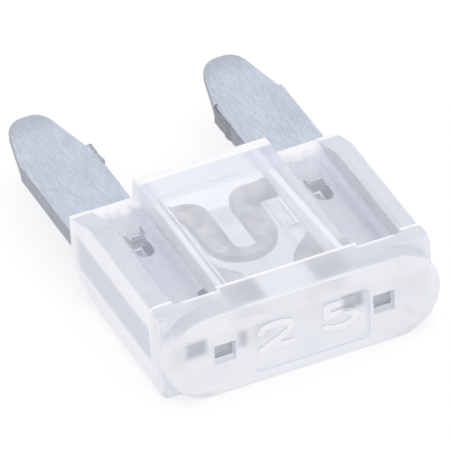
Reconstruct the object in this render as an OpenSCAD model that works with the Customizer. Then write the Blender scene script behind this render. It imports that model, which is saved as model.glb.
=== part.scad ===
// Mini blade fuse: one stamped element in one clear moulded housing, lying on a broad face.
// It is drawn about the housing's mouth, with the blades towards +Y, and then set down at z = 0.

/* [Blades] */
// Width of a blade
blade_width = 2.8; // [2.6:0.05:3]
// Thickness of the blades and their roots
blade_thickness = 0.8; // [0.6:0.05:0.9]
// Distance between the middles of the two blades
blade_pitch = 7.96; // [7.7:0.02:8.4]
// Length of the blades outside the housing
blade_reach = 7.45; // [6:0.05:9]
// Length of the tapered end of a blade
taper_length = 2.9; // [2:0.05:3.3]
// Width of the taper at the tip, before the tip is rounded
tip_width = 1.46; // [1.3:0.02:1.7]
// Radius of the tip's two corners, seen from above
tip_round = 0.74; // [0.5:0.02:0.8]
// Radius of the roll-over around the tip, seen from the side
nose_round = 0.38; // [0.1:0.02:0.38]
// Bevel along the edges of the taper
taper_bevel = 0.2; // [0.04:0.01:0.25]
// Bevel along the outer edges of the blades' straight part
side_bevel = 0.06; // [0.02:0.01:0.15]
// How far the right blade's tip leans outwards
tip_lean = 0.07; // [0:0.01:0.12]
// Radius of the bend between the straight side and the taper
knee_round = 0.8; // [0.3:0.1:2]
// Step at the housing's mouth from the blade's outer edge to its narrower root
shoulder_step = 0.3; // [0.25:0.05:0.4]

/* [Cut-off ties] */
// Distance from the taper back to the sheared stub of the strip's tie
tie_margin = 0.03; // [0.02:0.01:0.4]
// Length of the stub along the blade
tie_length = 1.42; // [0.8:0.02:1.6]
// How far the stub stands out of the left blade
tie_left = 0.12; // [0.05:0.01:0.25]
// How far the stub stands out of the right blade
tie_right = 0.08; // [0.02:0.01:0.25]
// Size of the break along the right stub's upper edge
tie_break = 0.12; // [0.04:0.01:0.2]

/* [Roots] */
// Length of the roots behind the mouth
root_length = 7.95; // [7.4:0.05:8.6]
// Distance from the mouth to where the roots widen inwards
root_neck = 4.15; // [3.8:0.05:4.6]
// Distance from the middle to the widened root
root_inner = 1.05; // [0.8:0.05:1.3]
// Radius of the root's corners
root_round = 0.3; // [0.1:0.05:0.4]
// Radius of the root's rear corners
rear_round = 0.15; // [0.05:0.01:0.2]
// Width of the tab that a probe touches
probe_width = 0.8; // [0.6:0.05:1]
// Distance from the middle to the tab's middle
probe_place = 3.2; // [2.8:0.05:3.8]
// Length of the tab past the root
probe_length = 0.62; // [0.4:0.02:0.7]
// Width of the hole that the housing is staked into
stake_hole_width = 0.7; // [0.6:0.02:0.8]
// Length of that hole
stake_hole_length = 1.5; // [1.2:0.05:1.8]
// Distance of that hole's middle from the blade's middle, inwards
stake_hole_offset = 0.34; // [0:0.02:0.5]
// Distance from the mouth to that hole's near end
stake_hole_setback = 1.75; // [1.5:0.05:2.2]
// Diameter of the strip's pilot hole in the root
pilot_hole = 0.7; // [0.4:0.05:1]
// Distance from the middle to the pilot hole
pilot_place = 2.7; // [2.4:0.05:3.2]
// Distance from the pilot hole to the root's rear end
pilot_margin = 1.65; // [1.1:0.05:2]

/* [Fuse link] */
// Thickness of the link, rolled thinner than the blades
link_thickness = 0.32; // [0.2:0.02:0.6]
// Distance from the mouth to the link's arms
link_setback = 0.66; // [0.4:0.02:1]
// Width of the arms that run in from the blades
arm_width = 0.85; // [0.6:0.05:1]
// Width of the legs
leg_width = 0.95; // [0.6:0.05:1]
// Gap between the legs
leg_gap = 0.95; // [0.7:0.05:1.1]
// Width of the neck at the bottom of the loop, where the fuse melts
neck_width = 0.47; // [0.2:0.01:0.7]
// Depth of the loop, from the arms' front edge to the bottom
loop_depth = 3.96; // [3.3:0.02:4.4]
// Radius of the shoulder from an arm into its leg
arm_round = 0.8; // [0.3:0.05:0.85]
// Fillet under the arm
arm_fillet = 0.3; // [0.1:0.05:0.4]

/* [Housing] */
// How far the body's sides stand outside the blades' outer edges
side_cover = 0.07; // [0:0.01:0.2]
// How far the head stands outside the body, at its sides and faces
head_step = 0.07; // [0.03:0.01:0.15]
// Thickness of the body and its middle block
body_thickness = 3.56; // [3.3:0.02:3.8]
// Plastic over the blades, in the recesses
wing_cover = 0.65; // [0.5:0.05:0.75]
// Plastic behind the roots
end_wall = 0.9; // [0.75:0.05:1.3]
// Length of the head
head_length = 1.53; // [1.3:0.01:1.8]
// Length of the head's round end
cap_length = 0.7; // [0.4:0.05:0.9]
// Radius of the round end's rim
cap_edge = 0.14; // [0.05:0.01:0.3]
// Radius of the body's long edges
body_round = 0.25; // [0.1:0.05:0.5]
// Radius of the body's corners at the mouth
mouth_round = 0.2; // [0.1:0.05:0.6]
// Radius of the block's corners at the mouth
block_round = 0.2; // [0.1:0.05:0.5]
// Radius of the small edges that face the blades
edge_round = 0.12; // [0.04:0.02:0.2]
// Radius of the head's rear corners
head_round = 0.45; // [0.1:0.05:0.7]
// Width of the side rails, outside the recesses
rail_width = 0.85; // [0.6:0.05:1.1]
// Length of the ramp from the mouth up to the rails
ramp_length = 2.1; // [1.5:0.1:3]
// Radius of the bend from the ramp to the rail
ramp_round = 0.7; // [0.3:0.1:2]
// Distance from the mouth to where the ramp starts on the underside
under_start = 0.6; // [0.3:0.05:1]
// Distance from the mouth to where the underside's ramp ends
under_length = 2.5; // [2.2:0.1:3.2]
// Radius of the long bend from that ramp to the rail
under_round = 3; // [0.5:0.1:3.5]
// How far the recesses reach into the head
recess_bite = 0.23; // [0.1:0.01:0.4]
// Width of the middle block at the recesses' floor
block_width = 5.64; // [5.3:0.02:5.8]
// Draft of the block, per side
block_draft = 0.12; // [0:0.02:0.25]
// How far the block stands out of the mouth
block_nose = 0.16; // [0:0.02:0.3]

/* [Rating panel] */
// Width of the shallow panel in the end face, which the raised rating stands in
panel_width = 4.7; // [3.5:0.05:4.75]
// Height of the panel
panel_height = 2.3; // [1.8:0.05:2.6]
// How far the panel lies to the right of the middle
panel_aside = 0.28; // [0:0.02:0.3]
// How far the panel lies below the middle
panel_drop = 0.25; // [0:0.01:0.3]
// Depth of the panel
panel_depth = 0.1; // [0.05:0.01:0.2]
// Radius of the panel's corners
panel_round = 0.3; // [0.1:0.05:0.6]

/* [Hollows] */
// Gap between the element and the housing
clearance = 0.03; // [0.02:0.01:0.04]
// Gap behind the roots
end_gap = 0.05; // [0.03:0.01:0.1]
// Plastic over and under the link's chamber
chamber_cover = 0.65; // [0.5:0.05:0.8]
// Plastic at each side of the link's chamber
chamber_side = 0.6; // [0.45:0.05:0.8]
// Distance from the head's edge to the chamber's end
chamber_margin = 0.37; // [0.2:0.01:0.6]
// Length of the chamber's wider mouth
chamber_mouth = 1.12; // [0.8:0.02:1.6]
// How much wider the chamber's mouth is, each way
chamber_flare = 0.08; // [0.03:0.01:0.15]
// Radius of the chamber's corners
chamber_round = 0.15; // [0.05:0.05:0.3]
// Distance from the mouth to the ribs across the chamber's faces
rib_place = 4.9; // [4.5:0.05:5.5]
// Length of a rib, from the chamber's side
rib_length = 0.95; // [0.5:0.05:1.3]
// Height and width of a rib
rib_size = 0.1; // [0.05:0.01:0.15]

/* [Stakes] */
// Width of the plug of plastic pressed into a blade's hole
plug_width = 0.56; // [0.4:0.02:0.56]
// How far the plug reaches into the hole
plug_reach = 0.24; // [0.1:0.02:0.28]
// Width of the punch mark over the plug
mark_width = 0.62; // [0.5:0.02:0.7]
// Depth of the punch mark
mark_depth = 0.35; // [0.2:0.01:0.4]

/* [Hidden] */

// Degrees of arc for each side of a rounded corner
arc_step = 7.5;
// Overlap that joins two solids, or carries a cut past a face
join = 0.3;
// How far the plug's top reaches into the plastic over the blade
plug_root = 0.05;
// Half of the shortest flat left where two round corners meet, in the loop and at a tip
loop_flat = 0.02;
$fn = 96;

blade_middle = blade_pitch / 2;
blade_inner = blade_middle - blade_width / 2;
blade_outer = blade_middle + blade_width / 2;
root_outer = blade_outer - shoulder_step;
knee = blade_reach - taper_length;
// Sideways run of the taper for each length of it
tip_slope = (blade_width - tip_width) / 2 / taper_length;
tip_slant = sqrt(1 + pow(tip_slope, 2));
// Half of the flat between the tip's two round corners
tip_post = max(loop_flat, tip_width / 2 - tip_round * (tip_slant - tip_slope));
tip_start = blade_reach - tip_round;
// Where the straight taper runs into the round corners
taper_end = tip_start + tip_round * tip_slope / tip_slant;
root_slope_end = root_neck + blade_inner - root_inner;

stake_hole_place = blade_middle - stake_hole_offset;
pilot_setback = root_length - pilot_margin;

leg_inner = leg_gap / 2;
leg_outer = leg_inner + leg_width;
loop_bottom = link_setback + loop_depth;

slot_half = blade_thickness / 2 + clearance;
slot_outer = root_outer + clearance;
slot_inner = root_inner - clearance;
slot_end = root_length + end_gap;
housing_length = slot_end + end_wall;
head_start = housing_length - head_length;
cap_start = housing_length - cap_length;
body_half = blade_outer + side_cover;
head_half = body_half + head_step;
body_top = body_thickness / 2;
head_top = body_top + head_step;
wing_top = slot_half + wing_cover;
rail_inner = body_half - rail_width;
block_half = block_width / 2;
chamber_half = block_half - chamber_side;
chamber_top = body_top - chamber_cover;
chamber_end = head_start - chamber_margin;
stake_front = stake_hole_setback + clearance;

tie_end = knee - tie_margin;
tie_start = tie_end - tie_length;
// Where the stub's torn edge runs, in shares of its length and of its height
torn_edge = [
    [1, 0], [0.97, 0.75], [0.9, 0.55], [0.65, 0.6], [0.5, 0.4], [0.38, 0.45], [0.25, 1], [0.13, 0.75], [0, 0]
];

// The whole fuse, from its round end to the blades' tips, is centred on the origin
set_down = [0, (housing_length - blade_reach) / 2, head_top];

// Points of a corner at p, between its neighbours a and b, rounded to radius r
function corner(a, p, b, r) =
    let (
        u = (a - p) / norm(a - p),
        v = (b - p) / norm(b - p),
        half = acos(u * v) / 2,
        middle = p + (u + v) / norm(u + v) * r / sin(half),
        start = p + u * r / tan(half) - middle,
        first = atan2(start.y, start.x),
        sweep = sign(cross(v, u)) * (180 - 2 * half),
        steps = ceil(abs(sweep) / arc_step)
    )
    [for (i = [0 : steps]) middle + r * [cos(first + sweep * i / steps), sin(first + sweep * i / steps)]];

// An outline from its corners, each given as [x, y, radius]
function outline(corners) =
    let (count = len(corners))
    [
        for (i = [0 : count - 1])
            let (
                a = corners[(i + count - 1) % count],
                p = corners[i],
                b = corners[(i + 1) % count]
            )
            each (p[2] > 0 ? corner([a.x, a.y], [p.x, p.y], [b.x, b.y], p[2]) : [[p.x, p.y]])
    ];

// Corners of a rectangle about the middle, all with one radius
function centred(half_x, half_y, r) = [
    [half_x, half_y, r], [-half_x, half_y, r], [-half_x, -half_y, r], [half_x, -half_y, r]
];

// An outline drawn in Y and Z, drawn out along X about the middle
module along_x(width) {
    rotate([90, 0, 90]) linear_extrude(width, center = true) children();
}

// An outline drawn in X and Z, drawn out along Y
module along_y(from, to) {
    translate([0, to, 0]) rotate([90, 0, 0]) linear_extrude(to - from) children();
}

// An outline drawn in X and Y, drawn out along Z about the middle
module along_z(thickness) {
    linear_extrude(thickness, center = true) children();
}

module both_sides() {
    children();
    mirror([1, 0, 0]) children();
}

module both_faces() {
    children();
    mirror([0, 0, 1]) children();
}

// The sheared stub on a blade's inner edge, as outline corners from the tip's side to the mouth's
function tie_corners(height) = [
    for (share = torn_edge)
        [blade_inner - height * share[1], tie_start + tie_length * share[0], 0]
];

// One blade with its root, seen from above, on the +X side
function blade_corners(tie, lean) = concat(
    [
        [blade_outer, knee, knee_round],
        [blade_middle + lean + tip_width / 2, blade_reach, 0],
        [blade_middle + lean - tip_width / 2, blade_reach, 0],
        [blade_inner, knee, 0]
    ],
    tie_corners(tie),
    [
        [blade_inner, -root_neck, root_round],
        [root_inner, -root_slope_end, root_round],
        [root_inner, -root_length, rear_round],
        [probe_place - probe_width / 2, -root_length, 0],
        [probe_place - probe_width / 2, -root_length - probe_length, 0],
        [probe_place + probe_width / 2, -root_length - probe_length, 0],
        [probe_place + probe_width / 2, -root_length, 0],
        [root_outer, -root_length, rear_round],
        [root_outer, clearance, 0],
        [blade_outer, clearance, 0]
    ]
);

// A bevel cut along the upper edge between two places seen from above
module edge_bevel(from, to, size) {
    run = to - from;
    side = size * sqrt(2);
    translate([from.x, from.y, blade_thickness / 2])
        rotate([0, 0, atan2(run.y, run.x)])
            rotate([45, 0, 0])
                translate([0, -side / 2, -side / 2])
                    cube([norm(run), side, side]);
}

// A slot through the blade, square at the mouth's side and round at the other
module stake_hole() {
    reach = stake_hole_length - stake_hole_width;
    translate([stake_hole_place, -stake_hole_setback - stake_hole_width / 2, 0])
        along_z(blade_thickness + join) {
            translate([0, -reach]) circle(d = stake_hole_width);
            translate([-stake_hole_width / 2, -reach])
                square([stake_hole_width, reach + stake_hole_width / 2]);
        }
}

// The strip's full thickness, with its edge rolled over all round the tip
module rolled_strip(lean) {
    rear = root_length + probe_length + join;
    half_thick = blade_thickness / 2;
    corner = [
        [0, half_thick, 0], [tip_round, half_thick, nose_round],
        [tip_round, -half_thick, nose_round], [0, -half_thick, 0]
    ];
    nose = [
        [tip_start - join, half_thick, 0], [blade_reach, half_thick, nose_round],
        [blade_reach, -half_thick, nose_round], [tip_start - join, -half_thick, 0]
    ];
    translate([0, -rear, -half_thick])
        cube([2 * blade_outer, rear + taper_end, blade_thickness]);
    translate([blade_middle + lean, 0, 0]) {
        along_x(2 * tip_post) polygon(outline(nose));
        for (side = [-1, 1])
            translate([side * tip_post, tip_start, 0])
                rotate_extrude() polygon(outline(corner));
    }
}

module blade(tie, lean) {
    difference() {
        intersection() {
            along_z(blade_thickness + join) polygon(outline(blade_corners(tie, lean)));
            rolled_strip(lean);
        }
        stake_hole();
        translate([pilot_place, -pilot_setback, 0])
            cylinder(h = blade_thickness + join, d = pilot_hole, center = true);
        both_faces() {
            for (side = [-1, 1])
                edge_bevel(
                    [blade_middle + side * blade_width / 2, knee],
                    [blade_middle + lean + side * tip_width / 2, blade_reach],
                    taper_bevel
                );
            edge_bevel([blade_outer, clearance - join], [blade_outer, knee], side_bevel);
        }
    }
}

// The loop between the blades: two arms, two legs and the narrow neck at its bottom
module link() {
    half = [
        [leg_inner, -loop_bottom + neck_width, leg_inner - loop_flat],
        [leg_inner, -link_setback, arm_round],
        [blade_inner + join, -link_setback, 0],
        [blade_inner + join, -link_setback - arm_width, 0],
        [leg_outer, -link_setback - arm_width, arm_fillet],
        [leg_outer, -loop_bottom, leg_outer - loop_flat]
    ];
    other_half = [for (i = [len(half) - 1 : -1 : 0]) [-half[i].x, half[i].y, half[i][2]]];
    along_z(link_thickness) polygon(outline(concat(half, other_half)));
}

module fuse_element() {
    color([0.70, 0.73, 0.78])
        translate(set_down) {
            difference() {
                blade(tie_right, tip_lean);
                edge_bevel(
                    [blade_inner, tie_start + tie_break],
                    [blade_inner, tie_end],
                    tie_break
                );
            }
            mirror([1, 0, 0]) blade(tie_left, 0);
            link();
        }
}

// Seen from the side, a slab whose edges at the mouth are rounded
function slab_view(half, front) = [
    [front, half, edge_round], [-cap_start, half, 0], [-cap_start, -half, 0], [front, -half, edge_round]
];

// The body between mouth and head: the thin wings over the blades and the rails at the sides
module body_shape() {
    plan = [
        [body_half, 0, mouth_round], [-body_half, 0, mouth_round],
        [-body_half, -cap_start, 0], [body_half, -cap_start, 0]
    ];
    rail_view = [
        [0, wing_top, edge_round], [-ramp_length, body_top, ramp_round],
        [-cap_start, body_top, 0], [-cap_start, -body_top, 0],
        [-under_length, -body_top, under_round], [-under_start, -wing_top, 0],
        [0, -wing_top, edge_round]
    ];
    intersection() {
        along_z(body_thickness) polygon(outline(plan));
        along_y(-cap_start, 0) polygon(outline(centred(body_half, body_top, body_round)));
        union() {
            along_x(2 * body_half) polygon(outline(slab_view(wing_top, 0)));
            both_sides()
                translate([body_half - rail_width / 2, 0, 0])
                    along_x(rail_width) polygon(outline(rail_view));
        }
    }
}

// The block in the middle, over the link's chamber
module block() {
    top_half = block_half - block_draft;
    section = [
        [top_half, body_top, edge_round], [-top_half, body_top, edge_round],
        [-block_half, wing_top, 0], [-block_half, -wing_top, 0],
        [-top_half, -body_top, edge_round], [top_half, -body_top, edge_round],
        [block_half, -wing_top, 0], [block_half, wing_top, 0]
    ];
    plan = [
        [block_half, block_nose, block_round], [-block_half, block_nose, block_round],
        [-block_half, -cap_start, 0], [block_half, -cap_start, 0]
    ];
    intersection() {
        along_z(body_thickness) polygon(outline(plan));
        along_y(-cap_start, block_nose) polygon(outline(section));
        along_x(block_width) polygon(outline(slab_view(body_top, block_nose)));
    }
}

// The head: a rounded bar, notched by the recesses, and a full-round end
module head() {
    plan = [
        [head_half, -head_start, 0], [-head_half, -head_start, 0],
        [-head_half, -cap_start, head_round], [head_half, -cap_start, head_round]
    ];
    difference() {
        intersection() {
            along_z(2 * head_top) polygon(outline(plan));
            along_y(-cap_start, -head_start)
                polygon(outline(centred(head_half, head_top, body_round + head_step)));
        }
        both_faces()
            both_sides()
                translate([block_half, -head_start - recess_bite, wing_top])
                    cube([rail_inner - block_half, recess_bite + join, head_top]);
    }
    round_middle = head_half - head_top;
    end_view = [
        [-cap_start + join, head_top, 0], [-housing_length, head_top, cap_edge],
        [-housing_length, -head_top, cap_edge], [-cap_start + join, -head_top, 0]
    ];
    turned_view = [
        [0, cap_start - join, 0], [head_top, cap_start - join, 0],
        [head_top, housing_length, cap_edge], [0, housing_length, 0]
    ];
    along_x(2 * round_middle) polygon(outline(end_view));
    both_sides()
        translate([round_middle, 0, 0])
            rotate([90, 0, 0]) rotate_extrude() polygon(outline(turned_view));
}

// The room for the link, open at the mouth and a little wider there
module chamber() {
    flare = chamber_flare;
    along_y(-chamber_end, block_nose + join)
        polygon(outline(centred(chamber_half, chamber_top, chamber_round)));
    along_y(-chamber_mouth, block_nose + join)
        polygon(outline(centred(chamber_half + flare, chamber_top + flare, chamber_round)));
}

// The flat slots that the blades' roots slide into, and the windows for a probe
module root_slots() {
    both_sides() {
        translate([slot_inner, -slot_end, -slot_half])
            cube([slot_outer - slot_inner, slot_end + block_nose + join, 2 * slot_half]);
        translate([probe_place - probe_width / 2 - clearance, -housing_length - join, -slot_half])
            cube([probe_width + 2 * clearance, end_wall + 2 * join, 2 * slot_half]);
    }
}

// The shallow panel in the end face
module rating_panel() {
    translate([panel_aside, 0, -panel_drop])
        along_y(-housing_length - join, -housing_length + panel_depth)
            polygon(outline(centred(panel_width / 2, panel_height / 2, panel_round)));
}

// Short ribs across the chamber's faces, from its sides
module chamber_ribs() {
    both_faces()
        both_sides()
            translate([chamber_half - rib_length, -rib_place - rib_size, chamber_top - rib_size])
                cube([rib_length + join, rib_size, rib_size + join]);
}

// The plastic that is punched into a blade's hole, from one face
module plug() {
    translate([stake_hole_place - plug_width / 2, -stake_front - plug_width, slot_half - plug_reach])
        cube([plug_width, plug_width, plug_reach + plug_root]);
}

module punch_mark() {
    overhang = (mark_width - plug_width) / 2;
    translate([
        stake_hole_place - mark_width / 2,
        -stake_front - plug_width - overhang,
        wing_top - mark_depth
    ])
        cube([mark_width, mark_width, mark_depth + join]);
}

module housing() {
    color([0.86, 0.88, 0.95, 0.45])
        translate(set_down) {
            difference() {
                union() {
                    body_shape();
                    block();
                    head();
                }
                chamber();
                root_slots();
                rating_panel();
                both_faces() both_sides() punch_mark();
            }
            chamber_ribs();
            both_faces() both_sides() plug();
        }
}

housing();
fuse_element();
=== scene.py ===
# %% [markdown]
# # A small plug-in fuse in clear plastic
# The real fuse is two pieces. A zinc strip is stamped into two blades and the thin
# loop between them, and one clear moulding is pushed over it. The measured solids
# come packed as a fixed frame, so this lesson only dresses them: it rounds the way
# light runs over them, gives them a finish, and adds what is too fine for the solids.

# %% Load the solids
import math

import bmesh
import bpy
from mathutils import Matrix, Vector


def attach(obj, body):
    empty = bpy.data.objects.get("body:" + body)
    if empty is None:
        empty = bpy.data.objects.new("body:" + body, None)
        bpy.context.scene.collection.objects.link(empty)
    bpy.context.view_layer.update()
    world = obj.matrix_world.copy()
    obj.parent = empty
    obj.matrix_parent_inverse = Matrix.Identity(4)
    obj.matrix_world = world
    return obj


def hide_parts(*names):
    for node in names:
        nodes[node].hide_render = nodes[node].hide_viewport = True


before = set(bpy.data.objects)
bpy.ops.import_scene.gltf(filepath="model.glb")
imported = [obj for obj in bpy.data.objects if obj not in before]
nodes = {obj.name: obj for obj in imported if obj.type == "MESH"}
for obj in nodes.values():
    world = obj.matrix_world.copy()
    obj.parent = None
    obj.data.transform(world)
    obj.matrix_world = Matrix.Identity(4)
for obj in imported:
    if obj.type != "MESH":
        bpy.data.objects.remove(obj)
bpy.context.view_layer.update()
MM = 0.001

# %% [markdown]
# ## The camera
# Such a small thing is photographed from far away with a long lens, so its edges stay
# almost parallel. The view was found from the picture itself: the corners of the
# blades and of the housing give the turn round the fuse, the height, a slight tilt,
# and how many picture widths the lens spans.

# %% Camera
PICTURE_SIDE = 452
FOCAL_LENGTH_PIXELS = 10789
AIM = Vector((0.014, -1.272, 1.85)) * MM
CAMERA_DISTANCE = 398.5 * MM
CAMERA_TURN = math.radians(-22.88)
CAMERA_HEIGHT = math.radians(37.22)
CAMERA_ROLL = math.radians(3.19)


def towards(turn, height):
    """A unit vector from the fuse, turned round it from the near side and raised."""
    return Vector((
        math.sin(turn) * math.cos(height),
        -math.cos(turn) * math.cos(height),
        math.sin(height),
    ))


def make_camera():
    data = bpy.data.cameras.new("camera")
    data.sensor_width = 36
    data.lens = FOCAL_LENGTH_PIXELS / PICTURE_SIDE * data.sensor_width
    data.clip_start = 0.01
    data.clip_end = 10
    camera = bpy.data.objects.new("camera", data)
    bpy.context.scene.collection.objects.link(camera)
    back = towards(CAMERA_TURN, CAMERA_HEIGHT)
    look = (-back).to_track_quat("-Z", "Y").to_matrix()
    roll = Matrix.Rotation(-CAMERA_ROLL, 3, "Z")
    stand = Matrix.Translation(AIM + back * CAMERA_DISTANCE)
    camera.matrix_world = stand @ (look @ roll).to_4x4()
    bpy.context.scene.camera = camera
    return camera


camera = make_camera()
bpy.context.scene.view_settings.view_transform = "Standard"
print("lens in mm", round(camera.data.lens), "camera at", [round(c, 3) for c in camera.location])

# %% [markdown]
# ## Writing materials as sums
# A material is a tree of nodes. Wiring it by hand is slow to read, so this small class
# wraps one output socket: adding or multiplying it adds the Math nodes, and one method
# makes any other node.

# %% A socket that can be added and multiplied


class Signal:
    """One socket in a material's tree. Sums on it add Math nodes to that tree."""

    def __init__(self, tree, socket=None):
        self.tree = tree
        self.socket = socket

    def node(self, kind, settings=None, values=None, out=0):
        """Any other node: its type, its settings, and its sockets' values or links."""
        made = self.tree.nodes.new(kind)
        for name, setting in (settings or {}).items():
            setattr(made, name, setting)
        for name, value in (values or {}).items():
            if isinstance(value, Signal):
                self.tree.links.new(value.socket, made.inputs[name])
            else:
                made.inputs[name].default_value = value
        return Signal(self.tree, made.outputs[out])

    def maths(self, operation, *values):
        return self.node("ShaderNodeMath", {"operation": operation}, dict(enumerate(values)))

    def most(self, other):
        """The larger of the two."""
        return self.maths("MAXIMUM", self, other)

    def __add__(self, other):
        return self.maths("ADD", self, other)

    def __radd__(self, other):
        return self.maths("ADD", other, self)

    def __sub__(self, other):
        return self.maths("SUBTRACT", self, other)

    def __rsub__(self, other):
        return self.maths("SUBTRACT", other, self)

    def __mul__(self, other):
        return self.maths("MULTIPLY", self, other)

    def __rmul__(self, other):
        return self.maths("MULTIPLY", other, self)

    def __abs__(self):
        return self.maths("ABSOLUTE", self)


# %% [markdown]
# A few words that both materials use: where a point is, how a value rises between two
# places, a mix of two colours, and grain, which is noise stretched along one direction.

# %% Words for the materials


def rise(signal, low, high):
    """0 below low, 1 above high, and a smooth rise between them."""
    return signal.node(
        "ShaderNodeMapRange",
        {"interpolation_type": "SMOOTHSTEP"},
        {"Value": signal, "From Min": low, "From Max": high},
    )


def colour_mix(share, first, second):
    """The first colour where share is 0 and the second where it is 1."""
    return share.node(
        "ShaderNodeMix", {"data_type": "RGBA"}, {0: share, 6: first, 7: second}, out=2)


def place(tree):
    """A point's own place on the fuse, whatever the fuse does later."""
    return tree.node("ShaderNodeTexCoord", out=3)


def coordinates(vector):
    """The three parts of a vector."""
    split = vector.node("ShaderNodeSeparateXYZ", values={0: vector})
    outputs = split.socket.node.outputs
    return [Signal(vector.tree, outputs[i]) for i in range(3)]


def grain(vector, per_mm, detail=3, turn=0, roughness=0.5):
    """Noise with so many marks a millimetre along X, Y and Z."""
    stretched = vector.node(
        "ShaderNodeMapping",
        values={
            "Vector": vector,
            "Rotation": (0, 0, math.radians(turn)),
            "Scale": tuple(marks / MM for marks in per_mm),
        },
    )
    return vector.node(
        "ShaderNodeTexNoise",
        {"noise_dimensions": "3D"},
        {"Vector": stretched, "Scale": 1, "Detail": detail, "Roughness": roughness},
    )


def new_material(name):
    """An empty material, with its tree as a Signal and its Principled shader."""
    material = bpy.data.materials.new(name)
    material.use_nodes = True
    tree = Signal(material.node_tree)
    shader = material.node_tree.nodes["Principled BSDF"]
    return material, tree, shader


def feed(tree, shader, values):
    """Sets the shader's sockets to values, or links them."""
    for name, value in values.items():
        if isinstance(value, Signal):
            tree.tree.links.new(value.socket, shader.inputs[name])
        else:
            shader.inputs[name].default_value = value


# %% [markdown]
# ## The clear plastic
# The housing is polycarbonate, which bends light more than acrylic does. It is polished
# only where the mould was: the flat tops of the wings and of the middle block. Its
# drafted walls left the mould a little rough, and the head is frosted all over. The
# plastic could be painted white there, but then nothing behind it would show. So every
# face refracts, rougher ones blur what is behind them, and a thin white veil lies over
# them, more of it in some places than in others. The inner walls have no veil: it would
# shut the light out of the plastic there, and the fuse would look like grey soap.
#
# The places are called zones here. Each is a number, mostly from 0 to 1, that follows
# from where a point lies or how upright its face is. The zones of the wings and rails use
# the distance from the middle, so that both sides get the same.

# %% Words for zones
# Places and sizes, here and below, are measured on the solids or traced from the picture
SOFT = 0.02 * MM
WIDE_BLUR = 3 * SOFT
HEAD_FRONT = -6.645 * MM
BLOCK_BASE = 3.0 * MM
# How level a face is, from a wall to a top
WALL_LEVEL = 0.35
TOP_LEVEL = 0.85


def near(value, middle, half_width, blur=SOFT):
    """1 where a value lies within half a width of the middle, and 0 outside."""
    return 1 - rise(abs(value - middle), half_width - blur, half_width + blur)


def past(value, place, blur=SOFT):
    """0 before a place and 1 past it."""
    return rise(value, place - blur, place + blur)


def first_zones(tree, here):
    """Where a point is, and on which large part of the moulding."""
    across, along, up = coordinates(here)
    normal = tree.node("ShaderNodeNewGeometry", out=1)
    wall = 1 - rise(abs(coordinates(normal)[2]), WALL_LEVEL, TOP_LEVEL)
    head = 1 - past(along, HEAD_FRONT)
    return {
        "across": across, "off_middle": abs(across), "along": along, "up": up,
        "wall": wall, "head": head, "high": past(up, BLOCK_BASE) * (1 - head),
    }


# %% [markdown]
# The head is frosted. A painted highlight runs along its front edge in one white line,
# which steps back over the wings. Three painted dark patches on its end stand for the
# metal that shows blurred through the frosted face. The raised numerals are painted
# whiter than the rest, as a painted highlight.

# %% Zones of the head
HEAD_FRONT_WINGS = -6.845 * MM
WING_MIDDLE = 3.5 * MM
WING_REACH = 0.75 * MM
EDGE_INSET = 0.05 * MM
EDGE_REACH = 0.09 * MM
EDGE_HEIGHTS = (2.2 * MM, 2.5 * MM)
NUMERAL_ACROSS = 2.3 * MM
NUMERAL_ALONG = (-8.13 * MM, 0.036 * MM, 0.01 * MM)
METAL_VIEW_BLUR = 0.16 * MM
METAL_VIEW_CLOUD = (0.25, 0.55)
# Middle and half size across, then middle and half size up
PAINTED_METAL_VIEWS = [
    (2.0 * MM, 0.42 * MM, 2.3 * MM, 0.34 * MM),
    (-4.36 * MM, 0.42 * MM, 2.43 * MM, 0.34 * MM),
    (-2.46 * MM, 0.16 * MM, 2.25 * MM, 0.34 * MM),
]


def painted_metal_views(zones, cloud):
    """The three painted dark patches of metal seen through the frosted end, broken up a little by
    the clouding.
    """
    shown = 0
    for across, half_width, up, half_height in PAINTED_METAL_VIEWS:
        shown = shown + near(zones["across"], across, half_width, METAL_VIEW_BLUR) * near(
            zones["up"], up, half_height, METAL_VIEW_BLUR)
    return shown * zones["head"] * zones["wall"] * rise(cloud, *METAL_VIEW_CLOUD)


def head_zones(zones, cloud):
    over_wings = near(zones["along"], HEAD_FRONT_WINGS - EDGE_INSET, EDGE_REACH) * near(
        zones["off_middle"], WING_MIDDLE, WING_REACH)
    # Painted highlight: a white line along the head's front edge
    edge = near(zones["along"], HEAD_FRONT - EDGE_INSET, EDGE_REACH).most(over_wings)
    return {
        "head_end": zones["head"] * zones["wall"],
        "head_top": zones["head"] * (1 - zones["wall"]),
        "head_edge_highlight": rise(zones["up"], *EDGE_HEIGHTS) * edge,
        "painted_metal_view": painted_metal_views(zones, cloud),
        "numeral": near(zones["off_middle"], 0, NUMERAL_ACROSS) * near(
            zones["along"], *NUMERAL_ALONG),
    }


# %% [markdown]
# The middle block has a thin veil over the link, a thicker one towards the mouth, and is
# white at the mouth itself. The chamber's walls stand under its sides. On the left a
# painted light band stands for them, and on the right a blurred band with a painted
# slanting light line in it.

# %% Zones of the middle block
BLOCK_MOUTH = 0.35 * MM
BLOCK_BACK = -1.05 * MM
LEFT_MARGIN = (-2.76 * MM, 0.26 * MM)
RIGHT_MARGIN = (2.25 * MM, 0.65 * MM)
PAINTED_RIGHT_LINE = (1.97 * MM, 0.12 * MM, 0.05 * MM)
PAINTED_RIGHT_LINE_TILT = 0.04


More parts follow.
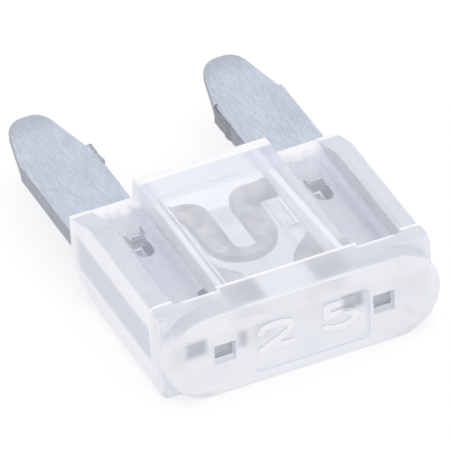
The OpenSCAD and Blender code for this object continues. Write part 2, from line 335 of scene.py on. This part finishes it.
def block_zones(zones):
    top = zones["high"] * (1 - zones["wall"])
    slanted = zones["across"] + PAINTED_RIGHT_LINE_TILT * zones["along"]
    return {
        "block_mouth": past(zones["along"], BLOCK_MOUTH, WIDE_BLUR) * zones["high"],
        "block_top": top,
        "block_back": top * past(zones["along"], BLOCK_BACK, WIDE_BLUR),
        # The left margin's veil is a painted light band; its roughness blurs what lies behind
        "left_margin": near(zones["across"], *LEFT_MARGIN, WIDE_BLUR) * zones["high"],
        "right_margin": near(zones["across"], *RIGHT_MARGIN, WIDE_BLUR) * zones["high"],
        # A painted light line, slanting over the right margin
        "painted_right_line": near(slanted, *PAINTED_RIGHT_LINE) * zones["high"],
    }


# %% [markdown]
# The wings are clear over the blades, and fade to white at the mouth in short streaks.
# Beside them stand the rails, greyer, with two fine light lines. In each wing a punch has
# pushed plastic into the blade's hole: a square pit, with painted shade on the plug at its bottom.

# %% Zones of the wings
WING_MOUTH = (-0.7 * MM, 0.1 * MM)
MOUTH_RAGGEDNESS = 0.5
RAIL_LEAST = 0.3
RAIL_CLOUDING = 0.9
RAIL_EDGE = 4.25 * MM
RAIL_CREST = 4.85 * MM
RAIL_LINES = (4.29 * MM, 4.56 * MM)
RAIL_LINE_REACH = 0.035 * MM
STAKE_ACROSS = 3.64 * MM
STAKE_ALONG = -1.335 * MM
STAKE_REACH = 0.34 * MM
STAKE_AROUND = 0.62 * MM
STAKE_AROUND_ALONG = (-1.42 * MM, 0.7 * MM)
STAKE_BLUR = 8 * SOFT
PLUG_LEVEL = 2.16 * MM
PLUG_REACH = 0.16 * MM


def wing_zones(zones, here, cloud):
    streaks = grain(here, (3, 0.7, 2), detail=2) * MM
    body = 1 - zones["head"]
    rail = past(zones["off_middle"], RAIL_EDGE) * body
    lines = near(zones["off_middle"], RAIL_LINES[0], RAIL_LINE_REACH) + near(
        zones["off_middle"], RAIL_LINES[1], RAIL_LINE_REACH)
    mouth = rise(zones["along"] - MOUTH_RAGGEDNESS * streaks, *WING_MOUTH)
    return {
        "mouth": mouth * (1 - zones["high"]),
        "rail": rail,
        "cloudy_rail": rail * (RAIL_LEAST + cloud * RAIL_CLOUDING),
        "rail_crest": past(zones["off_middle"], RAIL_CREST, WIDE_BLUR) * body,
        "rail_lines": (1 - zones["wall"]) * body * lines,
    }


def stake_zones(zones):
    top = 1 - zones["wall"]
    stake = near(zones["off_middle"], STAKE_ACROSS, STAKE_REACH) * near(
        zones["along"], STAKE_ALONG, STAKE_REACH)
    around = near(zones["off_middle"], STAKE_ACROSS, STAKE_AROUND, STAKE_BLUR) * near(
        zones["along"], *STAKE_AROUND_ALONG, STAKE_BLUR)
    return {
        "stake": stake,
        "stake_around": around * top * (1 - stake),
        # Painted shade: the plug at the pit's bottom is painted dark
        "plug": stake * near(zones["up"], PLUG_LEVEL, PLUG_REACH) * top,
    }


# %% [markdown]
# The side walls are painted white above and below as painted light, with a greyer band of
# painted shade between them. Inside the moulding, at the height of the chamber's walls and
# the blades' slots, there is no veil, and neither is there any on the back of a face.

# %% Zones of the sides and of the inside
SIDE_WALL = 5.3 * MM
SIDE_HIGH = (2.35 * MM, 2.75 * MM)
SIDE_SHADE_BAND = (1.85 * MM, 0.6 * MM, 0.22 * MM)
SIDE_LOW = (1.0 * MM, 1.35 * MM)
INNER_ACROSS = 5.2 * MM
INNER_ALONG = (-3.65 * MM, 4.25 * MM)
INNER_UP = (1.85 * MM, 0.95 * MM)


def side_zones(zones):
    side = past(zones["off_middle"], SIDE_WALL) * zones["wall"] * (1 - zones["head"])
    # Painted light above and below, and a band of painted shade between them
    return {
        "side_high": side * rise(zones["up"], *SIDE_HIGH),
        "side_shade_band": side * near(zones["up"], *SIDE_SHADE_BAND),
        "side_low": side * (1 - rise(zones["up"], *SIDE_LOW)),
    }


def inner_zones(tree, zones):
    inner = near(zones["off_middle"], 0, INNER_ACROSS) * near(zones["along"], *INNER_ALONG)
    return {
        "inner": inner * near(zones["up"], *INNER_UP) * (1 - zones["stake"]),
        "behind": tree.node("ShaderNodeNewGeometry", out=6),
    }


def clear_zones(tree, here, cloud):
    """All zones of the moulding by name, and three that join others."""
    zones = first_zones(tree, here)
    zones.update(head_zones(zones, cloud))
    zones.update(block_zones(zones))
    zones.update(wing_zones(zones, here, cloud))
    zones.update(stake_zones(zones))
    zones.update(side_zones(zones))
    zones.update(inner_zones(tree, zones))
    zones["side_light"] = zones["side_high"] + zones["side_low"]
    zones["inner_wall"] = zones["inner"] * zones["wall"]
    zones["bright"] = zones["mouth"].most(zones["block_mouth"]).most(zones["head_edge_highlight"])
    return zones


# %% [markdown]
# Two tables say what each zone does to the veil: how much of it there is, and which
# colour it takes. The colours come in order, each laid over the ones before. They were
# set by comparing the same small patches in the picture and in the render.

# %% The veil
VEIL_EVERYWHERE = 0.09
VEIL_CLOUDING = 0.12
VEIL_LEAST = 0.02
VEIL_MOST = 0.92
CLOUD_RANGE = (0.3, 0.7)
# How much each zone adds to the veil
VEIL = {
    "wall": 0.42, "head_end": 0.32, "head_top": 0.42, "head_edge_highlight": 0.5, "mouth": 0.85,
    "block_mouth": 0.75, "block_top": 0.36, "block_back": 0.25, "left_margin": 0.4,
    "painted_right_line": 0.6, "rail": 0.3, "rail_crest": 0.08, "rail_lines": 0.3, "numeral": 0.6,
    "plug": 0.45, "stake_around": 0.26,
    "side_high": 0.36, "side_shade_band": 0.16, "side_low": 0.36,
}
WHITES = ((0.88, 0.895, 0.975, 1), (0.945, 0.955, 1.0, 1))
# Zone, how far its colour covers the one before, and the colour
VEIL_COLOURS = [
    ("head_end", 1, (0.93, 0.943, 1.0, 1)),
    # Painted highlight: the raised numerals are painted whiter
    ("numeral", 1, (0.985, 0.99, 1.0, 1)),
    # Painted dark patches: the metal seen blurred through the frosted end
    ("painted_metal_view", 0.85, (0.50, 0.51, 0.57, 1)),
    ("head_top", 0.8, (0.82, 0.84, 0.93, 1)),
    ("block_top", 0.5, (0.86, 0.88, 1.0, 1)),
    ("block_back", 1, (0.78, 0.80, 0.92, 1)),
    ("cloudy_rail", 1, (0.62, 0.64, 0.73, 1)),
    # Painted light: the white bands above and below on the side walls
    ("side_light", 1, (0.94, 0.95, 1.0, 1)),
    # Painted shade: the greyer band on the side walls
    ("side_shade_band", 1, (0.68, 0.70, 0.80, 1)),
    # The white mouths, and the painted highlight along the head's edge
    ("bright", 1, (0.98, 0.98, 1.0, 1)),
    ("stake_around", 1, (0.70, 0.74, 0.82, 1)),
    ("stake", 1, (0.84, 0.87, 0.94, 1)),
    # Painted shade on the plug at the pit's bottom
    ("plug", 1, (0.42, 0.43, 0.47, 1)),
]


def veil(zones, cloud):
    """From 0, clear, to 1, white, over the outside of the moulding."""
    share = VEIL_EVERYWHERE + (cloud - 0.5) * VEIL_CLOUDING
    for name, amount in VEIL.items():
        share = share + zones[name] * amount
    held = share.node(
        "ShaderNodeClamp", values={"Value": share, "Min": VEIL_LEAST, "Max": VEIL_MOST})
    return held * (1 - zones["inner"]) * (1 - zones["behind"])


def veil_colour(zones, cloud):
    colour = colour_mix(rise(cloud, *CLOUD_RANGE), *WHITES)
    for name, cover, zone_colour in VEIL_COLOURS:
        colour = colour_mix(zones[name] * cover, colour, zone_colour)
    return colour


# %% [markdown]
# The clear plastic and the veil are two shaders that share one slow ripple, which bends
# what is seen through the flat tops. Fine scratches roughen the body, the head is rougher
# all over, and the chamber's walls are rough, as a moulder's core may leave them.

# %% Clear plastic
POLYCARBONATE_IOR = 1.58
TINTS = ((0.93, 0.942, 1.0, 1), (0.96, 0.968, 1.0, 1))
POLISHED = 0.03
SCRATCHED = 0.08
ROUGHER = {
    "head": 0.2, "head_top": 0.12, "right_margin": 0.3, "left_margin": 0.3, "inner_wall": 0.3,
}
VEIL_ROUGHNESS = 0.4
SCRATCH_TURN = 24
RIPPLE_STRENGTH = 0.3
RIPPLE_DEPTH = 0.012 * MM


def clear_roughness(zones, marks):
    rough = POLISHED + marks * SCRATCHED
    for name, amount in ROUGHER.items():
        rough = rough + zones[name] * amount
    return rough


def clear_plastic():
    material, tree, clear = new_material("clear_plastic")
    here = place(tree)
    flow = grain(here, (0.35, 0.9, 0.6), detail=2)
    cloud = grain(here, (0.9, 0.7, 0.9), detail=4)
    zones = clear_zones(tree, here, cloud)
    scratches = rise(grain(here, (22, 1.1, 9), detail=2, turn=SCRATCH_TURN), 0.68, 0.78)
    marks = scratches * (1 - zones["head"]) * (1 - zones["inner"])
    ripple = flow * 0.8 + cloud * 0.05 + marks * 0.02
    bump = tree.node(
        "ShaderNodeBump",
        values={"Strength": RIPPLE_STRENGTH, "Distance": RIPPLE_DEPTH, "Height": ripple},
    )
    feed(tree, clear, {
        "Base Color": colour_mix(rise(cloud, *CLOUD_RANGE), *TINTS),
        "Roughness": clear_roughness(zones, marks),
        "IOR": POLYCARBONATE_IOR,
        "Transmission Weight": 1.0,
        "Normal": bump,
    })
    milk = material.node_tree.nodes.new("ShaderNodeBsdfPrincipled")
    feed(tree, milk, {
        "Base Color": veil_colour(zones, cloud),
        "Roughness": VEIL_ROUGHNESS,
        "IOR": POLYCARBONATE_IOR,
        "Normal": bump,
    })
    both = tree.node("ShaderNodeMixShader", values={
        0: veil(zones, cloud),
        1: Signal(tree.tree, clear.outputs[0]),
        2: Signal(tree.tree, milk.outputs[0]),
    })
    output = material.node_tree.nodes["Material Output"]
    tree.tree.links.new(both.socket, output.inputs["Surface"])
    return material


plastic = clear_plastic()
print("made", plastic.name)

# %% [markdown]
# ## The zinc element
# The strip is rolled, so short fine lines run along the blades, with a few dark pits
# between them. Stamping leaves the sides duller: the punch shears the metal for half its
# thickness and tears the rest. A sheared stub is left on each blade's inner edge, where a
# bridge may have held the strip. The link looks thinner and tinned: it has no lines, only
# soft blotches, some of them warm. Less light reaches the metal inside the housing in
# this scene than in the picture, so it is painted lighter there.

# %% Where the zinc differs
FADE = 0.1 * MM
STUB_FADE = 0.08 * MM
CUT_LEVELS = (0.15, 0.6)
LINK_HALF_WIDTH = 2.4 * MM
LINK_FRONT = 0.6 * MM
BLADE_INNER = 2.58 * MM
STUB_ALONG = (4.54 * MM, 0.72 * MM, 0.05 * MM)
TIP = (6.4 * MM, 7.6 * MM)
MOUTH = 0.7 * MM
PROBE_ENDS = -7 * MM


def zinc_zones(tree, here):
    """The places on the strip that differ, each from 0 to 1, and the crumbs of torn metal."""
    across, along, _ = coordinates(here)
    normal = tree.node("ShaderNodeNewGeometry", out=1)
    crumbs = rise(grain(here, (7, 7, 5), detail=4, roughness=0.7), 0.42, 0.6)
    before_stub = 1 - rise(abs(across), BLADE_INNER, BLADE_INNER + STUB_FADE)
    middle = 1 - rise(abs(across), LINK_HALF_WIDTH - FADE, LINK_HALF_WIDTH)
    inside = 1 - past(along, MOUTH, FADE)
    return {
        "cut_edge": 1 - rise(abs(coordinates(normal)[2]), *CUT_LEVELS),
        "crumbs": crumbs,
        "stub": before_stub * near(along, *STUB_ALONG),
        "link": middle * (1 - rise(along, LINK_FRONT, LINK_FRONT + FADE)),
        "tip": rise(along, *TIP),
        "inside": inside,
        "punched": inside * rise(along, PROBE_ENDS, PROBE_ENDS + FADE),
    }


# %% [markdown]
# Each kind of surface is a mix of two tones. The kinds are then laid over each other:
# rolled faces first, then the link, the sheared sides, and the stubs last.

# %% Rolled zinc
ROLLED = ((0.485, 0.525, 0.605, 1), (0.72, 0.77, 0.87, 1))
# Painted light: lighter tones for the metal inside the housing
INSIDE_PAINTED_LIGHT = ((0.80, 0.83, 0.91, 1), (1.0, 1.0, 1.0, 1))
TINNED = ((0.26, 0.265, 0.29, 1), (0.66, 0.66, 0.68, 1))
SHEARED = ((0.44, 0.46, 0.51, 1), (0.30, 0.31, 0.34, 1))
PIT = (0.28, 0.30, 0.34, 1)
DULL_TIP = (0.37, 0.39, 0.44, 1)
WARM = (0.88, 0.80, 0.68, 1)
SHEARED_PAINTED_LIGHT = (0.90, 0.92, 0.97, 1)
TORN_STUB = (0.33, 0.335, 0.36, 1)
GRAIN_STRENGTH = 0.5
GRAIN_DEPTH = 0.008 * MM


def rolled_face(here, tone, zones):
    pits = rise(grain(here, (9, 4, 5), detail=1), 0.74, 0.8)
    rolled = colour_mix(rise(tone, 0.4, 0.85), *ROLLED)
    rolled = colour_mix(pits * 0.6, rolled, PIT)
    rolled = colour_mix(zones["tip"] * 0.45, rolled, DULL_TIP)
    # Painted light: the rolled faces inside the housing are painted lighter
    return colour_mix(
        zones["inside"] * 0.9, rolled, colour_mix(rise(tone, 0.4, 0.8), *INSIDE_PAINTED_LIGHT))


def tinned_link(here):
    blotches = grain(here, (1.1, 0.9, 1.1), detail=4, roughness=0.55)
    speckle = grain(here, (9, 7, 9), detail=3, roughness=0.6)
    mottle = blotches * 0.75 + speckle * 0.25
    warm = rise(grain(here, (1.3, 1.1, 1.3), detail=2), 0.52, 0.7)
    return colour_mix(warm * 0.5, colour_mix(rise(mottle, 0.38, 0.62), *TINNED), WARM)


def sheared_side(zones):
    # Painted light: the sheared sides inside the housing are painted lighter, in two steps
    lighter = zones["inside"] * 0.4 + zones["punched"] * 0.5
    return colour_mix(lighter, colour_mix(zones["crumbs"] * 0.5, *SHEARED), SHEARED_PAINTED_LIGHT)


def rolled_zinc():
    material, tree, shader = new_material("rolled_zinc")
    here = place(tree)
    zones = zinc_zones(tree, here)
    cut_edge, crumbs = zones["cut_edge"], zones["crumbs"]
    stub, link = zones["stub"], zones["link"]
    lines = grain(here, (20, 1.5, 5), detail=3, roughness=0.7)
    hairs = grain(here, (42, 2.6, 12), detail=3, roughness=0.65)
    blotches = grain(here, (0.9, 0.5, 0.9), detail=3)
    tone = lines * 0.5 + hairs * 0.5 + blotches * 0.2
    colour = colour_mix(link * 0.95, rolled_face(here, tone, zones), tinned_link(here))
    colour = colour_mix(cut_edge * (1 - link), colour, sheared_side(zones))
    colour = colour_mix(stub * (0.5 + crumbs * 0.5), colour, TORN_STUB)
    height = (lines * 0.5 + hairs * 0.35) * (1 - link) + crumbs * (cut_edge + stub) * 0.8
    bump = tree.node(
        "ShaderNodeBump",
        values={"Strength": GRAIN_STRENGTH, "Distance": GRAIN_DEPTH, "Height": height},
    )
    feed(tree, shader, {
        "Base Color": colour,
        "Metallic": 1.0,
        "Roughness": 0.36 + hairs * 0.2 + cut_edge * 0.15 + link * 0.1,
        "Normal": bump,
    })
    return material


zinc = rolled_zinc()
print("made", zinc.name)

# %% [markdown]
# ## Rounding the light over the solids
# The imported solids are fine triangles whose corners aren't joined, so each small flat
# of a rounded edge would flash by itself. A merged copy is shaded smooth across those
# flats and stays crisp where two real faces meet.

# %% Smooth copies
SHARP = math.radians(20)
SAME_POINT = 0.0005 * MM


def smooth_copy(node, name, material):
    shape = bmesh.new()
    shape.from_mesh(nodes[node].data)
    bmesh.ops.remove_doubles(shape, verts=shape.verts, dist=SAME_POINT)
    for face in shape.faces:
        face.smooth = True
    for edge in shape.edges:
        edge.smooth = edge.calc_face_angle(math.pi) < SHARP
    mesh = bpy.data.meshes.new(name)
    shape.to_mesh(mesh)
    shape.free()
    mesh.materials.append(material)
    piece = bpy.data.objects.new(name, mesh)
    bpy.context.scene.collection.objects.link(piece)
    weighted = piece.modifiers.new("even_faces", "WEIGHTED_NORMAL")
    weighted.keep_sharp = True
    weighted.weight = 100
    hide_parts(node)
    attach(piece, "root")
    return piece


housing = smooth_copy("housing", "clear_housing", plastic)
element = smooth_copy("fuse_element", "stamped_element", zinc)
print("faces:", len(housing.data.polygons), len(element.data.polygons))

# %% [markdown]
# ## The raised rating
# The current in amperes stands in the head's shallow panel as two raised numerals. They
# are drawn here from plain strokes: one open line of points for each numeral, swept to
# one width and given height. A font would do too, but strokes have the same width all
# along, and their round ends look like a cutter's path, which is how such a mould is made.

# %% Raised numerals
PANEL_FLOOR = -8.075 * MM
RATING_HEIGHT = 0.06 * MM
RATING_ROOT = 0.01 * MM
STROKE = 0.3 * MM
ROUND_END_SIDES = 20
SKIN_VOXEL = 0.02 * MM
SKIN_SMOOTHING = 8
# Each numeral in a box one high and one wide, from its first stroke to its last
TWO = [
    (0, 0.78), (0.1, 0.95), (0.35, 1), (0.7, 1), (0.94, 0.9), (1, 0.72), (0.92, 0.54),
    (0.6, 0.34), (0, 0), (1, 0),
]
FIVE = [
    (0.95, 1), (0.08, 1), (0.04, 0.56), (0.5, 0.62), (0.85, 0.53), (1, 0.32), (0.88, 0.1),
    (0.55, 0), (0.2, 0.02), (0, 0.13),
]
# Left, right, bottom and top of each numeral's middle line, in mm on the end face
TWO_BOX = (-1.72, -0.5, 1.36, 2.38)
FIVE_BOX = (0.85, 2.1, 1.32, 2.38)


def stroke_piece(name, numerals):
    """Raised lines on the end face: a bar along each stroke and a disc at each point."""
    shape = bmesh.new()
    depth = RATING_HEIGHT + RATING_ROOT
    for points, (left, right, low, high) in numerals:
        centres = [
            Vector((left + (right - left) * x, 0, low + (high - low) * z)) * MM for x, z in points
        ]
        for start, end in zip(centres, centres[1:]):
            run = end - start
            turn = Matrix.Rotation(-math.atan2(run.z, run.x), 4, "Y")
            middle = (start + end) / 2
            block = bmesh.ops.create_cube(shape, size=1)["verts"]
            bmesh.ops.scale(shape, vec=(run.length, depth, STROKE), verts=block)
            bmesh.ops.transform(shape, matrix=Matrix.Translation(middle) @ turn, verts=block)
        for centre in centres:
            dot = bmesh.ops.create_cone(
                shape, cap_ends=True, segments=ROUND_END_SIDES,
                radius1=STROKE / 2, radius2=STROKE / 2, depth=depth)["verts"]
            bmesh.ops.rotate(shape, matrix=Matrix.Rotation(math.radians(90), 3, "X"), verts=dot)
            bmesh.ops.translate(shape, vec=centre, verts=dot)
    front = PANEL_FLOOR + (RATING_ROOT - RATING_HEIGHT) / 2
    bmesh.ops.translate(shape, vec=(0, front, 0), verts=shape.verts)
    mesh = bpy.data.meshes.new(name)
    shape.to_mesh(mesh)
    shape.free()
    piece = bpy.data.objects.new(name, mesh)
    bpy.context.scene.collection.objects.link(piece)
    return piece


def join_strokes(piece, voxel, smoothing):
    """One closed skin over the overlapping strokes, with its steps smoothed away."""
    skin = piece.modifiers.new("one_skin", "REMESH")
    skin.mode = "VOXEL"
    skin.voxel_size = voxel
    soften = piece.modifiers.new("soften", "SMOOTH")
    soften.factor = 0.5
    soften.iterations = smoothing
    bpy.context.view_layer.update()
    depsgraph = bpy.context.evaluated_depsgraph_get()
    solid = bpy.data.meshes.new_from_object(piece.evaluated_get(depsgraph))
    piece.modifiers.clear()
    piece.data = solid
    for face in solid.polygons:
        face.use_smooth = True


rating = stroke_piece("rating_numerals", [(TWO, TWO_BOX), (FIVE, FIVE_BOX)])
join_strokes(rating, SKIN_VOXEL, SKIN_SMOOTHING)
rating.data.materials.clear()
rating.data.materials.append(plastic)
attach(rating, "root")
print("numeral faces:", len(rating.data.polygons))

# %% [markdown]
# ## Floor and light
# The fuse lies on a white table. A plain white sheet would come out grey, and more light
# would wash out the fuse. So the table shows itself white to the camera, in the metal and
# through the plastic, and still takes the soft shadow. All other light from below comes
# from plain pale paper.

# %% White table
TABLE_RADIUS = 1.5
PAPER = 0.86
SHADE = 0.4
GLOW = 0.64


def white_table():
    material, tree, shader = new_material("white_table")
    output = material.node_tree.nodes["Material Output"]
    rays = tree.node("ShaderNodeLightPath").socket.node.outputs
    seen = Signal(tree.tree, rays["Is Camera Ray"])
    seen = seen.most(Signal(tree.tree, rays["Is Glossy Ray"])).most(
        Signal(tree.tree, rays["Is Transmission Ray"]))
    paper = tree.node("ShaderNodeBsdfDiffuse", values={"Color": (PAPER, PAPER, PAPER, 1)})
    shade = tree.node("ShaderNodeBsdfDiffuse", values={"Color": (SHADE, SHADE, SHADE, 1)})
    glow = tree.node("ShaderNodeEmission", values={"Color": (1, 1, 1, 1), "Strength": GLOW})
    shown = tree.node("ShaderNodeAddShader", values={0: shade, 1: glow})
    both = tree.node("ShaderNodeMixShader", values={0: seen, 1: paper, 2: shown})
    tree.tree.links.new(both.socket, output.inputs["Surface"])
    shape = bmesh.new()
    bmesh.ops.create_circle(shape, cap_ends=True, segments=64, radius=TABLE_RADIUS)
    mesh = bpy.data.meshes.new("table")
    shape.to_mesh(mesh)
    shape.free()
    mesh.materials.append(material)
    table = bpy.data.objects.new("table", mesh)
    bpy.context.scene.collection.objects.link(table)
    return table


table = white_table()

# %% [markdown]
# A light tent lights the fuse almost evenly from all round, a little more from above and
# behind. One broad lamp, high up on the right, gives the faint shadow its direction.

# %% Light tent
TENT_DIM = 0.92
TENT_EXTRA = 0.08
TENT_FADE = (-0.6, 0.7)
BRIGHT_SIDE = Vector((0.25, 0.55, 0.8)).normalized()
KEY_LAMP = {"turn": 120, "height": 62, "distance": 0.5, "size": 0.25, "watts": 0.06}
MOST_BOUNCES = 32


def light_tent():
    world = bpy.data.worlds.new("light_tent")
    bpy.context.scene.world = world
    world.use_nodes = True
    tree = Signal(world.node_tree)
    background = world.node_tree.nodes["Background"]
    direction = tree.node("ShaderNodeTexCoord", out=0)
    facing = tree.node(
        "ShaderNodeVectorMath", {"operation": "DOT_PRODUCT"}, {0: direction, 1: BRIGHT_SIDE}, out=1
    )
    strength = TENT_DIM + rise(facing, *TENT_FADE) * TENT_EXTRA
    world.node_tree.links.new(strength.socket, background.inputs["Strength"])
    background.inputs["Color"].default_value = (1, 1, 1, 1)
    return world


def soft_lamp(name, turn, height, distance, size, watts):
    data = bpy.data.lights.new(name, "AREA")
    data.shape = "DISK"
    data.size = size
    data.energy = watts
    lamp = bpy.data.objects.new(name, data)
    bpy.context.scene.collection.objects.link(lamp)
    away = towards(math.radians(turn), math.radians(height))
    aimed = away.to_track_quat("Z", "Y").to_matrix().to_4x4()
    lamp.matrix_world = Matrix.Translation(away * distance) @ aimed
    return lamp


def let_light_bounce(times):
    """Light is turned back many times inside clear plastic before it comes out."""
    cycles = bpy.context.scene.cycles
    cycles.max_bounces = times
    cycles.diffuse_bounces = times
    cycles.glossy_bounces = times
    cycles.transmission_bounces = times


tent = light_tent()
let_light_bounce(MOST_BOUNCES)
key = soft_lamp("key", **KEY_LAMP)
print("lamps:", key.name)
